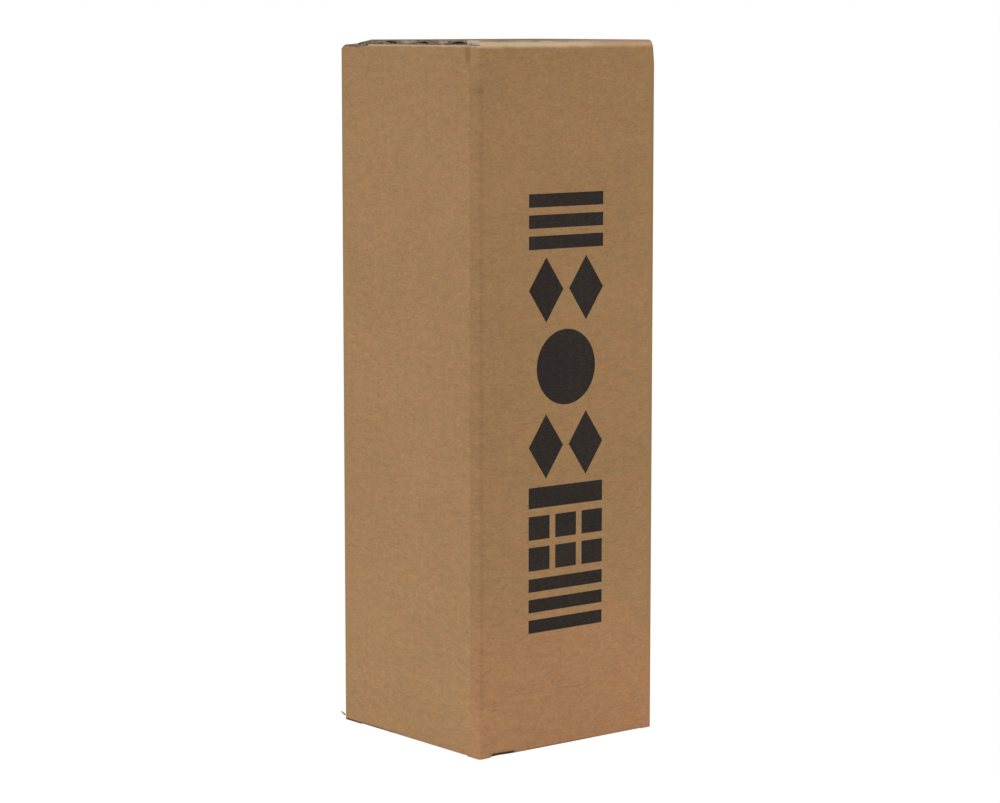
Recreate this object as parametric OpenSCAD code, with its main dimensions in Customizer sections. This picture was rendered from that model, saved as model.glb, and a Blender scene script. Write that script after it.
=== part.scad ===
// Tall carton for one bottle, folded from a single sheet of corrugated board.
// The printed front panel faces -Y, the floor is z = 0 and the origin is the middle of the base.
// The lid turns on the fold along the front panel's top edge and tucks in behind the back panel.

/* [Carton] */
// Outside width, across the printed panel
carton_w = 120; // [105:1:140]
// Outside depth, from the printed panel to the back
carton_d = 120; // [105:1:140]
// Height from the floor to the top of the closed lid
carton_h = 374; // [350:1:400]

/* [Board] */
// Thickness of the corrugated board
board_t = 2.8; // [2:0.1:3.4]
// Thickness of each flat outer paper
liner_t = 0.35; // [0.2:0.05:0.5]
// Distance from one flute to the next
flute_pitch = 6.4; // [5:0.1:8]
// Thickness of the fluted paper, measured along the cut edge
medium_t = 0.6; // [0.3:0.05:0.9]
// How far the open flutes are hollowed out behind a cut edge
hollow_depth = 6; // [3:0.5:10]

/* [Folds] */
// Inside radius of the four upright folds
upright_r = 1.2; // [0.6:0.1:2]
// Outside radius of the upright folds, where the scored board is drawn tight
upright_edge_r = 1.4; // [0.8:0.1:2.4]
// Inside radius of the folds that carry flaps
flap_r = 0.6; // [0.3:0.1:1.2]
// Inside radius of the soft bends in the bottom flaps
crease_r = 2; // [1:0.25:3]
// Width of the die-cut slit beside each flap
slit_w = 0.5; // [0.3:0.1:1.5]

/* [Lid] */
// How far the lid stays inside the side panels' outer faces
lid_side_gap = 1.2; // [0.6:0.1:2]
// Length of the lid's narrow part, from the carton's back face
lid_narrow_len = 25; // [20:1:32]
// How much each side of the lid steps in where the narrow part starts
lid_step = 2.4; // [1.6:0.1:3]
// Gap between the tuck flap's side and the side panel's inner face
tuck_side_gap = 3.7; // [3.2:0.1:6]
// Angle by which the narrow part slopes down to the tuck fold
droop_angle = 7; // [3:0.5:9]
// Inside radius of the soft bend before the narrow part
droop_r = 20; // [8:1:30]
// Straight length of the tuck flap
tuck_len = 22; // [15:1:26]
// Corner radius of the tuck flap
tuck_corner_r = 9; // [4:1:12]
// Smallest gap between the tuck flap and the back panel
tuck_gap = 0.5; // [0.4:0.1:1]
// Distance between hollows along the lid's side edges, which are cut almost along the flutes
side_wave = 29; // [20:1:40]

/* [Dust flaps] */
// Length of each dust flap from the side panel's outer face
dust_len = 42; // [30:1:48]
// Angle by which a dust flap dips below level
dust_dip = 3; // [1:0.5:5]
// How much the dust flap's back edge slants in towards its tip
dust_slant = 9; // [4:1:14]

/* [Back panel] */
// How far the back panel's cut edge lies below the top of the lid
back_drop = 4.4; // [3.8:0.1:6]
// Radius where the cut edges run down into the back corners
back_corner_r = 3.5; // [2:0.5:5]
// How far the side panel's cut edge lies below the lid at the front of its shoulder
shoulder_drop = 0.4; // [0.2:0.1:0.8]

/* [Glued joint] */
// Width of the glue tab inside the right-hand panel
tab_w = 35; // [25:1:40]
// Distance from the carton's top or bottom to the tab's nearer corner
tab_end_gap = 12; // [11:1:16]
// How much the tab's ends slant over its width
tab_slant = 20; // [10:1:30]
// How far the overlapping panel's edge stays short of the back face
seam_gap = 1.2; // [0.6:0.1:2]

/* [Bottom flaps] */
// Outside radius of the folds that the carton stands on
fold_edge_r = 1; // [0.6:0.1:2]
// Distance from the middle of the carton to the last flap's cut edge
last_flap_reach = 8; // [4:1:10]
// Half width of the last flap's locking tongue
tongue_half_w = 22; // [16:1:24]
// Length of the tongue that lies on the first flap
tongue_len = 14; // [10:1:18]
// Gap beside the tongue, in the first flap's notch and between the side flaps
tongue_gap = 3; // [2:0.5:4]
// Distance from the middle of the carton to the first flap's cut edge
first_flap_reach = 8; // [4:1:12]
// Gap between the two side flaps where they nearly meet
side_flap_gap = 12; // [6:1:16]
// Steepest slope of a bottom flap that climbs over others
climb_angle = 30; // [25:1:38]

/* [Print] */
// Distance from the top of the lid to the printed column
print_drop = 79.3; // [70:0.5:90]
// Width of the printed column
print_w = 50.7; // [40:0.5:60]
// How far the printed column lies from the panel's middle line
print_shift = -1.6; // [-4:0.1:4]
// Gap between two marks
mark_gap = 4.3; // [3:0.1:6]
// Width of the narrow spaces inside a mark
mark_space = 4; // [3:0.25:5]
// Thickness of the ink
ink_t = 0.1; // [0.08:0.01:0.2]

/* [Hidden] */
$fn = 48;

kraft = [0.62, 0.49, 0.345];
kraft_lid = [0.65, 0.52, 0.375];
ink = [0.21, 0.19, 0.18];

// Largest angle between two facets of a bend, and the clearance between the lid's and panel's mitres
facet_angle = 7.5;
mitre_relief = 1;

half_w = carton_w / 2;
half_d = carton_d / 2;
inner_half_w = half_w - board_t;
inner_half_d = half_d - board_t;
upright_r_out = upright_r + board_t;
flap_r_out = flap_r + board_t;
over = 1;

// Square zone at each corner that belongs to the upright fold, and the flaps' clear half widths
corner_zone = upright_r_out + board_t;
root_half_w = half_w - corner_zone - slit_w;
root_half_d = half_d - corner_zone - slit_w;

// Start of the fold between the back panel and the glue tab
seam_x = inner_half_w - upright_r_out;
seam_y = half_d - upright_r_out;

// Heights at the top of the carton
lid_under_z = carton_h - board_t;
bend_z = lid_under_z - flap_r_out;
back_z = carton_h - back_drop;
back_corner_z = back_z - back_corner_r;
front_corner_z = lid_under_z - slit_w;
shoulder_y = half_d - lid_narrow_len;

// Lid, measured from the hinge line at the carton's top front edge
lid_half_w = half_w - lid_side_gap;
tuck_half_w = inner_half_w - tuck_side_gap;
hinge_to_back = carton_d - board_t;
tuck_reach = hinge_to_back - tuck_gap;
lid_flat_len = hinge_to_back - lid_narrow_len;
lid_slope_len = (tuck_reach - board_t - lid_flat_len - (droop_r - flap_r) * sin(droop_angle)
    - flap_r_out) / cos(droop_angle);
tuck_fold_drop = board_t + droop_r * (1 - cos(droop_angle)) + lid_slope_len * sin(droop_angle)
    + flap_r * cos(droop_angle);
// The lid swings clear when its tuck flap stays inside this radius round the hinge line
swing_r = sqrt(pow(tuck_reach, 2) + pow(back_drop, 2));
tuck_tip_drop = tuck_fold_drop + tuck_len;
tuck_lean = asin((tuck_reach - sqrt(pow(swing_r, 2) - pow(tuck_tip_drop, 2))) / tuck_len);
tuck_tip_y = inner_half_d - tuck_gap - flap_r_out - tuck_len * sin(tuck_lean);

// Bottom flaps: levels of their undersides, one board above another
side_flap_lift = board_t;
first_flap_lift = 2 * board_t;
tongue_lift = 3 * board_t;
side_climb_angle = 20;
side_flap_front = half_d - corner_zone - flap_r_out - slit_w;
side_flap_half = root_half_d - climb_run(first_flap_lift, climb_angle) + board_t + slit_w;
last_flap_half = inner_half_w - flap_r - climb_run(side_flap_lift, side_climb_angle) - over;
notch_y = last_flap_reach + over + climb_run(tongue_lift, climb_angle);

// Heights of the printed marks, from the top one down
mark_h = [29, 34, 40, 34, 11, 29, 29];

function polar(r, angle) = [r * cos(angle), r * sin(angle)];
function sum_to(list, n) = n == 0 ? 0 : list[n - 1] + sum_to(list, n - 1);
function mark_top_z(i) = carton_h - print_drop - sum_to(mark_h, i) - i * mark_gap;

// Straight length of a climb that lifts a flap between two opposite soft bends, and the floor it takes
function climb_len(lift, angle) =
    (lift - (2 * crease_r + board_t) * (1 - cos(angle))) / sin(angle);
function climb_run(lift, angle) =
    climb_len(lift, angle) * cos(angle) + (2 * crease_r + board_t) * sin(angle);

// Part of a ring or disc between two angles
module ring_part(r_in, r_out, from, to) {
    reach = 2 * r_out;
    intersection() {
        difference() {
            circle(r_out);
            if (r_in > 0)
                circle(r_in);
        }
        polygon([[0, 0], polar(reach, from), polar(reach, (from + to) / 2), polar(reach, to)]);
    }
}

// A rib is the line through the board from its face to its back, at a point of the face
function rib(at, heading) = [at, at + polar(board_t, heading + 90)];

// Ribs of a strip of board that starts along x with its back upwards and is bent in turn.
// Each step is [straight length, angle of the bend after it, inside radius of that bend].
// A positive bend turns the strip up, towards its back.
function ribs(steps, i = 0, at = [0, 0], heading = 0) =
    let (
        bend = steps[i][1],
        end = at + polar(steps[i][0], heading)
    )
    i == len(steps) - 1
        ? [rib(end, heading)]
        : let (
            arm = pivot_arm(bend, steps[i][2]),
            pivot = end + polar(arm, heading + 90),
            count = ceil(abs(bend) / facet_angle),
            turned = heading + bend
        )
        concat(
            [for (k = [0 : count]) bend_rib(pivot, arm, heading + bend * k / count)],
            ribs(steps, i + 1, pivot - polar(arm, turned + 90), turned)
        );

// Distance from the face to the point that a bend turns about
function pivot_arm(bend, r) = bend > 0 ? board_t + r : -r;
function bend_rib(pivot, arm, heading) = rib(pivot - polar(arm, heading + 90), heading);

// Section of such a strip
module strip_section(steps) {
    all = concat([rib([0, 0], 0)], ribs(steps));
    polygon(concat([for (r = all) r[0]], [for (k = [len(all) - 1 : -1 : 0]) all[k][1]]));
}

// Turns its children round the pivot of a bend
module past_bend(bend, r) {
    arm = pivot_arm(bend, r);
    translate([0, arm, 0])
        rotate(bend)
            translate([0, -arm, 0])
                children();
}

// Puts its children at the cut end of such a strip
module at_strip_end(steps, i = 0) {
    translate([steps[i][0], 0, 0])
        if (i < len(steps) - 1)
            past_bend(steps[i][1], steps[i][2])
                at_strip_end(steps, i + 1)
                    children();
        else
            children();
}

// Open flutes behind a cut edge at x = 0: hollows that are wide at one liner and narrow at the other
module flute_row(width, pitch = flute_pitch, depth = hollow_depth) {
    step = pitch / 2;
    count = floor((width - step) / step);
    narrow = medium_t / 2;
    wide = step - narrow - medium_t;
    rotate([0, 90, 0])
        translate([0, 0, -depth])
            linear_extrude(depth + over)
                for (k = [0 : count - 1])
                    translate([(k - (count - 1) / 2) * step, board_t / 2])
                        mirror([0, k % 2])
                            hollow_section(wide, narrow, board_t / 2 - liner_t);
}

module hollow_section(wide, narrow, half_h) {
    polygon([[-wide, half_h], [wide, half_h], [narrow, -half_h], [-narrow, -half_h]]);
}

// Stands a strip up along the left panel, so that positive bends turn it inwards
module up_left_panel() {
    translate([-half_w, 0, 0])
        rotate([0, -90, -90])
            children();
}

module on_both_sides() {
    children();
    mirror([1, 0, 0])
        children();
}

// A shape drawn in the side view, with y to the right, and carried through across x
module across(width) {
    rotate([90, 0, 90])
        linear_extrude(width, center = true)
            children();
}

module rounded_outline(w, d, r) {
    square([w - 2 * r, d], center = true);
    square([w, d - 2 * r], center = true);
    for (sx = [-1, 1], sy = [-1, 1])
        translate([sx * (w / 2 - r), sy * (d / 2 - r)])
            circle(r);
}

// Plan of the four panels; the back panel stops where its fold into the glue tab starts
module panel_plan() {
    difference() {
        rounded_outline(carton_w, carton_d, upright_edge_r);
        rounded_outline(carton_w - 2 * board_t, carton_d - 2 * board_t, upright_r);
        translate([seam_x, seam_y - upright_r_out])
            square(corner_zone + upright_r_out + over);
    }
    translate([inner_half_w, seam_y - 2 * upright_r_out])
        square([board_t, 3 * upright_r_out - seam_gap]);
}

module corner_zones() {
    for (sx = [-1, 1], sy = [-1, 1])
        translate([sx * (half_w - corner_zone / 2), sy * (half_d - corner_zone / 2)])
            square(corner_zone, center = true);
}

// Where the panels stand on the floor: their corners, and along the side panels up to the flaps' roots
module standing_zones() {
    corner_zones();
    for (sx = [-1, 1])
        translate([sx * (half_w - corner_zone / 2), 0])
            difference() {
                square([corner_zone, carton_d], center = true);
                translate([-corner_zone, -side_flap_front - slit_w])
                    square([2 * corner_zone, side_flap_front + side_flap_half + 2 * slit_w]);
            }
}

module panels() {
    translate([0, 0, flap_r_out])
        linear_extrude(bend_z - flap_r_out)
            panel_plan();
    linear_extrude(2 * flap_r_out)
        intersection() {
            panel_plan();
            standing_zones();
        }
}

// Front panel from the dust flaps' level up to the lid's fold, and the two front corners beside it
module front_top() {
    intersection() {
        across(2 * lid_half_w) {
            translate([-half_d, bend_z - over])
                square([board_t, flap_r_out + over]);
            translate([-inner_half_d, lid_under_z])
                ring_part(0, board_t, 135, 180);
        }
        linear_extrude(carton_h)
            rounded_outline(carton_w, carton_d, upright_edge_r);
    }
    translate([0, 0, bend_z - over])
        linear_extrude(front_corner_z - bend_z + over)
            intersection() {
                panel_plan();
                corner_zones();
                translate([-carton_w, -carton_d])
                    square([2 * carton_w, carton_d]);
            }
}

// Walls behind the dust flaps, up to the lid's level
module back_top() {
    translate([0, 0, bend_z - over])
        linear_extrude(flap_r_out + over)
            intersection() {
                panel_plan();
                translate([-carton_w, shoulder_y + slit_w])
                    square([2 * carton_w, carton_d]);
            }
}

// Cut edges behind the dust flaps: two shoulders that slope back, and the back panel's top edge
module back_edge_cuts() {
    top = carton_h + over;
    edge_y = half_d - corner_zone;
    across(carton_w + over)
        polygon([
            [shoulder_y, lid_under_z - shoulder_drop],
            [edge_y, back_z],
            [half_d + over, back_z],
            [half_d + over, top],
            [shoulder_y, top],
        ]);
    back_corner_cut(half_w - upright_r_out / 2, half_d - upright_r_out / 2);
    mirror([1, 0, 0])
        back_corner_cut(seam_x + upright_r_out / 2, half_d - seam_gap);
}

// Rounds the cut edges down into the left back corner, at end_x and end_y from the middle
module back_corner_cut(end_x, end_y) {
    depth = board_t + 2 * over;
    translate([-half_w - over, end_y, back_corner_z])
        cube([half_w + over - end_x, half_d + over - end_y, board_t + back_corner_r]);
    translate([-half_w - over, end_y, back_corner_z])
        rotate([90, 0, 90])
            linear_extrude(depth)
                edge_rounding();
    translate([-end_x, half_d + over, back_corner_z])
        rotate([90, 0, 0])
            linear_extrude(depth)
                mirror([1, 0])
                    edge_rounding();
}

// What is cut away outside a quarter round that runs down to its own origin
module edge_rounding() {
    r = back_corner_r;
    difference() {
        translate([-r, 0])
            square([r, r + over]);
        translate([-r, 0])
            circle(r);
    }
}

// Open flutes in the cut edges of the back panel and of the two shoulders
module back_hollows() {
    side_len = lid_narrow_len - corner_zone - slit_w;
    translate([0, half_d, back_z])
        rotate([0, 0, -90])
            rotate([0, -90, -90])
                flute_row(2 * (root_half_w - back_corner_r));
    on_both_sides()
        translate([-half_w, shoulder_y + slit_w + side_len / 2, back_z])
            rotate([0, -90, -90])
                flute_row(side_len);
}

module dust_flap() {
    root = over;
    steps = [[root, 90 + dust_dip, flap_r], [dust_len - flap_r_out, 0, 0]];
    reach_x = -half_w + dust_len + over;
    difference() {
        intersection() {
            translate([0, 0, bend_z - root])
                up_left_panel()
                    linear_extrude(carton_d, center = true)
                        strip_section(steps);
            linear_extrude(carton_h)
                polygon([
                    [-half_w - over, -root_half_d],
                    [-half_w + flap_r_out, -root_half_d],
                    [reach_x, -root_half_d + dust_slant / 2],
                    [reach_x, shoulder_y - dust_slant],
                    [-half_w + flap_r_out, shoulder_y],
                    [-half_w - over, shoulder_y],
                ]);
        }
        translate([0, (shoulder_y - root_half_d - dust_slant / 2) / 2, bend_z - root])
            up_left_panel()
                at_strip_end(steps)
                    flute_row(shoulder_y + root_half_d - 2 * dust_slant);
    }
}

// A bottom flap's strip, on the left panel: round its fold, then up by climbs of [start, lift, angle]
function climb_steps(climb) = [
    [climb[0], climb[2], crease_r],
    [climb_len(climb[1], climb[2]), -climb[2], crease_r],
];

module bottom_strip(steps) {
    translate([0, 0, flap_r_out + over])
        mirror([0, 0, 1])
            up_left_panel()
                linear_extrude(2 * carton_w, center = true) {
                    strip_section(concat([[over, 90, flap_r]], steps));
                    pressed_fold_edge();
                }
}

// Outside of a bottom fold, where the carton's weight has pressed the board into a tight edge
module pressed_fold_edge() {
    flat = flap_r_out - fold_edge_r;
    translate([over, 0])
        difference() {
            hull() {
                square([flat, flap_r_out]);
                translate([0, fold_edge_r])
                    square([flap_r_out, flat]);
                translate([flat, fold_edge_r])
                    circle(fold_edge_r);
            }
            translate([0, flap_r_out])
                circle(flap_r + board_t / 2);
        }
}

module outline_prism(points) {
    linear_extrude(carton_h / 2)
        polygon(points);
}

// Turns a flap made on the left panel so that it hangs from the front or the back panel
module on_front() {
    translate([0, half_w - half_d, 0])
        rotate([0, 0, 90])
            children();
}

module on_back() {
    translate([0, half_d - half_w, 0])
        rotate([0, 0, -90])
            children();
}

// First flap folded, from the back panel: it lies on top, with a notch for the tongue
module first_bottom_flap() {
    foot = half_d - flap_r_out;
    climb_end = foot - climb_run(first_flap_lift, climb_angle);
    intersection() {
        on_back()
            bottom_strip(concat(
                climb_steps([0.1, first_flap_lift, climb_angle]),
                [[climb_end + first_flap_reach, 0, 0]]
            ));
        outline_prism([
            [-root_half_w, half_d + over],
            [-root_half_w, foot],
            [-last_flap_half, climb_end],
            [-last_flap_half, -first_flap_reach],
            [-tongue_half_w - tongue_gap, -first_flap_reach],
            [-tongue_half_w - tongue_gap, notch_y],
            [tongue_half_w + tongue_gap, notch_y],
            [tongue_half_w + tongue_gap, -first_flap_reach],
            [last_flap_half, -first_flap_reach],
            [last_flap_half, climb_end],
            [root_half_w, foot],
            [root_half_w, half_d + over],
        ]);
    }
}

// Side flaps, which lie under the first flap and leave room for the tongue
module side_bottom_flap() {
    inner_x = tongue_half_w + tongue_gap;
    long_x = side_flap_gap / 2;
    intersection() {
        bottom_strip(concat(
            climb_steps([0.1, side_flap_lift, side_climb_angle]),
            [[half_w, 0, 0]]
        ));
        outline_prism([
            [-half_w - over, -side_flap_front],
            [-last_flap_half, -side_flap_front],
            [-long_x, -side_flap_front + dust_slant],
            [-long_x, -first_flap_reach - tongue_gap],
            [-inner_x, -tongue_gap],
            [-inner_x, side_flap_half - dust_slant],
            [-last_flap_half, side_flap_half],
            [-half_w - over, side_flap_half],
        ]);
    }
}

// Last flap folded, from the front panel: it lies lowest, and its tongue climbs over the first flap
module last_bottom_flap() {
    flat = half_d - flap_r_out + last_flap_reach;
    shoulder_w = last_flap_half - tongue_half_w;
    chamfer_y = -half_d + flap_r_out + root_half_w - last_flap_half;
    difference() {
        intersection() {
            on_front()
                bottom_strip(concat(
                    climb_steps([flat + over, tongue_lift, climb_angle]),
                    [[tongue_len, 0, 0]]
                ));
            outline_prism([
                [-root_half_w, -half_d - over],
                [-root_half_w, -half_d + flap_r_out],
                [-last_flap_half, chamfer_y],
                [-last_flap_half, last_flap_reach],
                [-tongue_half_w, last_flap_reach],
                [-tongue_half_w, half_d],
                [tongue_half_w, half_d],
                [tongue_half_w, last_flap_reach],
                [last_flap_half, last_flap_reach],
                [last_flap_half, chamfer_y],
                [root_half_w, -half_d + flap_r_out],
                [root_half_w, -half_d - over],
            ]);
        }
        on_both_sides()
            translate([-tongue_half_w - shoulder_w / 2, last_flap_reach, 0])
                rotate([0, 0, 90])
                    rotate([90, 0, 0])
                        flute_row(shoulder_w);
    }
}

// The back panel's fold and the glue tab; past the tab's ends the panel is cut at the middle of the fold
module glue_tab() {
    low = tab_end_gap;
    high = carton_h - tab_end_gap;
    translate([seam_x, seam_y, low])
        linear_extrude(high - low)
            ring_part(upright_r, upright_r_out, 0, 90);
    translate([seam_x, inner_half_d, 0])
        cube([upright_r_out / 2, board_t, low]);
    translate([seam_x, inner_half_d, high])
        cube([upright_r_out / 2, board_t, back_z - high]);
    translate([inner_half_w - board_t / 2, 0, 0])
        across(board_t)
            polygon([
                [seam_y, low],
                [seam_y, high],
                [seam_y - tab_w, high - tab_slant],
                [seam_y - tab_w, low + tab_slant],
            ]);
}

module carton() {
    color(kraft)
        difference() {
            union() {
                panels();
                front_top();
                back_top();
                glue_tab();
                on_both_sides()
                    dust_flap();
                first_bottom_flap();
                on_both_sides()
                    side_bottom_flap();
                last_bottom_flap();
            }
            back_edge_cuts();
            back_hollows();
        }
}

lid_steps = [
    [lid_flat_len, -droop_angle, droop_r],
    [lid_slope_len, droop_angle - 90 - tuck_lean, flap_r],
    [tuck_len, 0, 0],
];

// The lid's frame: y from the fold along the lid, z up from the lid's underside
module from_lid_fold() {
    translate([0, -inner_half_d, lid_under_z])
        rotate([90, 0, 90])
            children();
}

module lid_blank() {
    intersection() {
        from_lid_fold()
            linear_extrude(2 * lid_half_w, center = true) {
                ring_part(0, board_t, 90, 135 - mitre_relief);
                strip_section(lid_steps);
            }
        linear_extrude(2 * carton_h)
            intersection() {
                rounded_outline(carton_w, carton_d, upright_edge_r);
                polygon([
                    [-lid_half_w, -half_d],
                    [-lid_half_w, shoulder_y - slit_w],
                    [-lid_half_w + lid_step, shoulder_y + lid_step - slit_w],
                    [-tuck_half_w, tuck_tip_y],
                    [-tuck_half_w, half_d],
                    [tuck_half_w, half_d],
                    [tuck_half_w, tuck_tip_y],
                    [lid_half_w - lid_step, shoulder_y + lid_step - slit_w],
                    [lid_half_w, shoulder_y - slit_w],
                    [lid_half_w, -half_d],
                ]);
            }
    }
}

// Rounds one lower corner of the tuck flap
module tuck_corner_cut() {
    r = tuck_corner_r;
    from_lid_fold()
        at_strip_end(lid_steps)
            translate([-r, board_t + over, tuck_half_w - r])
                rotate([90, 0, 0])
                    linear_extrude(board_t + 2 * over)
                        difference() {
                            square(r + 2 * over);
                            circle(r);
                        }
}

module lid() {
    side_len = carton_d - lid_narrow_len - corner_zone;
    color(kraft_lid)
        difference() {
            lid_blank();
            on_both_sides() {
                tuck_corner_cut();
                translate([lid_half_w, shoulder_y - side_len / 2, lid_under_z])
                    rotate([90, 0, 0])
                        flute_row(side_len, side_wave);
            }
            from_lid_fold()
                at_strip_end(lid_steps)
                    flute_row(2 * (tuck_half_w - tuck_corner_r));
        }
}

// Marks, drawn from their own top edge down: plain bars, diamonds, a disc and blocks
module bars(h, count) {
    bar_h = (h - (count - 1) * mark_space) / count;
    for (k = [0 : count - 1])
        translate([-print_w / 2, -bar_h - k * (bar_h + mark_space)])
            square([print_w, bar_h]);
}

module diamonds(h) {
    wide = (print_w - mark_space) / 4;
    for (side = [-1, 1])
        translate([side * (wide + mark_space / 2), -h / 2])
            polygon([[-wide, 0], [0, h / 2], [wide, 0], [0, -h / 2]]);
}

module disc(h) {
    translate([0, -h / 2])
        circle(h / 2);
}

module blocks(h, columns, rows) {
    block_w = (print_w - (columns - 1) * mark_space) / columns;
    block_h = (h - (rows - 1) * mark_space) / rows;
    for (c = [0 : columns - 1], r = [0 : rows - 1])
        translate([-print_w / 2 + c * (block_w + mark_space), -block_h - r * (block_h + mark_space)])
            square([block_w, block_h]);
}

module mark(i) {
    if (i == 0 || i == 6)
        bars(mark_h[i], 3);
    if (i == 1 || i == 3)
        diamonds(mark_h[i]);
    if (i == 2)
        disc(mark_h[i]);
    if (i == 4)
        bars(mark_h[i], 1);
    if (i == 5)
        blocks(mark_h[i], 3, 2);
}

module printed_marks() {
    color(ink)
        for (i = [0 : len(mark_h) - 1])
            translate([print_shift, -half_d, mark_top_z(i)])
                rotate([90, 0, 0])
                    linear_extrude(ink_t)
                        mark(i);
}

carton();
lid();
printed_marks();
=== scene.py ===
import math

import bmesh
import bpy
from mathutils import Matrix, Vector


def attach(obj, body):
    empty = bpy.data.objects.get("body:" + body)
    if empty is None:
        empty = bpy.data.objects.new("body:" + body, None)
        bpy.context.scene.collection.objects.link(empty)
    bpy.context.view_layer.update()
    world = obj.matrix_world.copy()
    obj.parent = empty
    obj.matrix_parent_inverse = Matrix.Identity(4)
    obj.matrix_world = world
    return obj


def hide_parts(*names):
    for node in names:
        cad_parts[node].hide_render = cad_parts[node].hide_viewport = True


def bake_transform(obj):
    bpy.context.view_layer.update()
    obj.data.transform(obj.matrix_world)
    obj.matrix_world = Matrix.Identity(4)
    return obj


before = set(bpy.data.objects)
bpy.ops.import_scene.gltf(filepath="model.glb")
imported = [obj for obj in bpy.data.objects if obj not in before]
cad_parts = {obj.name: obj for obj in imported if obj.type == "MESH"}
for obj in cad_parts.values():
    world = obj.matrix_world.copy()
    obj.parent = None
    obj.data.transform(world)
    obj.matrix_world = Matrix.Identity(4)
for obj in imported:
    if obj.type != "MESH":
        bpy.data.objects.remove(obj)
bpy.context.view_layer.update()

# Sizes in metres. Slits are narrower and front corners higher than in the part's source, as photographed
MM = 0.001
HALF = 60 * MM
HEIGHT = 374 * MM
BOARD = 2.8 * MM
LINER = 0.35 * MM
INNER_HALF = HALF - BOARD
UPRIGHT_R = 4 * MM
UPRIGHT_EDGE_R = 1.4 * MM
FLAP_R = 0.6 * MM
FLAP_R_OUT = FLAP_R + BOARD
FOLD_EDGE_R = 1 * MM
CORNER_LEAN = 0.11
CREASE_R = 2 * MM
SLIT = 0.1 * MM
ZONE = 6.8 * MM
ROOT_HALF = 52.7 * MM
SHOULDER_Y = 35 * MM
LID_UNDER_Z = HEIGHT - BOARD
BEND_Z = LID_UNDER_Z - FLAP_R_OUT
BACK_Z = 369.6 * MM
FRONT_CORNER_Z = 371.15 * MM
SHOULDER_Z = 370.8 * MM
CORNER_ROUND = 3.5 * MM
TAB_X = INNER_HALF - UPRIGHT_R
TAB_ENDS = (12 * MM, 362 * MM)
TAB_W = 35 * MM
TAB_SLANT = 20 * MM
SEAM_Y = HALF - 1.2 * MM
LID_HALF = HALF - 1.2 * MM
FLUTE = 6.4 * MM
SIDE_WAVE = 29.5 * MM
MEDIUM = 0.28 * MM
HOLLOW = 4 * MM
SIDE_HOLLOW = 1.1 * MM
SIDE_ROOT = (-49.3 * MM, 44.5 * MM)
TOUCH = 0.00001

# Places of the first two finishes on a board; the fluting paper comes third
PAPER = 0
CUT_EDGE = 1


# Picking parts of a mesh by their place

def select_only(piece):
    bpy.ops.object.select_all(action="DESELECT")
    piece.select_set(True)
    bpy.context.view_layer.objects.active = piece


def open_mesh(piece, mode="EDGE"):
    """Starts editing one piece, with nothing selected."""
    select_only(piece)
    bpy.ops.object.mode_set(mode="EDIT")
    bpy.ops.mesh.select_mode(type=mode)
    bpy.ops.mesh.select_all(action="DESELECT")


def close_mesh():
    bpy.ops.object.mode_set(mode="OBJECT")


def pick_all():
    bpy.ops.mesh.select_all(action="SELECT")


def pick(kind, test):
    """Selects the vertices, edges or faces whose ends all pass the test, and nothing else."""
    data = bpy.context.edit_object.data
    bpy.ops.mesh.select_mode(type={"verts": "VERT", "edges": "EDGE", "faces": "FACE"}[kind])
    bpy.ops.mesh.select_all(action="DESELECT")
    shape = bmesh.from_edit_mesh(data)
    for part in getattr(shape, kind):
        ends = [part] if kind == "verts" else part.verts
        if all(test(v.co) for v in ends):
            part.select_set(True)
    shape.select_flush_mode()
    bmesh.update_edit_mesh(data)


def pick_faces_at(test):
    """Selects the faces whose middle passes the test, and nothing else."""
    data = bpy.context.edit_object.data
    bpy.ops.mesh.select_mode(type="FACE")
    bpy.ops.mesh.select_all(action="DESELECT")
    shape = bmesh.from_edit_mesh(data)
    for face in shape.faces:
        if test(face.calc_center_median()):
            face.select_set(True)
    bmesh.update_edit_mesh(data)


def squeeze(test, axis, start, old, new):
    """Scales what passes the test along one axis from a start line, so that old comes to new."""
    scale = [1, 1, 1]
    scale[axis] = (new - start) / (old - start)
    centre = [0, 0, 0]
    centre[axis] = start
    beyond = 1 if old > start else -1
    pick("verts", lambda p: test(p) and (p[axis] - start) * beyond > TOUCH)
    bpy.ops.transform.resize(value=scale, center_override=centre)


def near(a, b, reach=TOUCH):
    return abs(a - b) < reach


def move(way):
    bpy.ops.transform.translate(value=way)


def extrude(way):
    bpy.ops.mesh.extrude_region_move(TRANSFORM_OT_translate={"value": way})


def turn(angle, centre, axis, steps):
    """Folds the selected edges round a centre line, counter-clockwise as seen along the axis back."""
    bpy.ops.mesh.spin(steps=steps, angle=-angle, center=centre, axis=axis)


def cut(place, normal):
    """Cuts the whole mesh along a plane."""
    pick_all()
    bpy.ops.mesh.bisect(plane_co=place, plane_no=normal, threshold=TOUCH)


def fold_along(steps, start, heading, back):
    """Carries the selected edge on through straight runs and bends of a board.

    Each step is (straight length, angle in degrees, inside radius); a positive angle turns the board
    towards its back. The steps end at the returned point, heading and back.
    """
    place = Vector(start)
    heading = Vector(heading)
    back = Vector(back)
    for length, degrees, radius in steps:
        if length:
            extrude(heading * length)
            place = place + heading * length
        if degrees:
            angle = math.radians(degrees)
            arm = BOARD + radius if degrees > 0 else -radius
            pivot = place + back * arm
            axis = heading.cross(back)
            turn(angle, pivot, axis, max(2, round(abs(degrees) / 9)))
            roll = Matrix.Rotation(angle, 3, axis)
            place = pivot + roll @ (place - pivot)
            heading = roll @ heading
            back = roll @ back
    return place, heading, back


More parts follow.
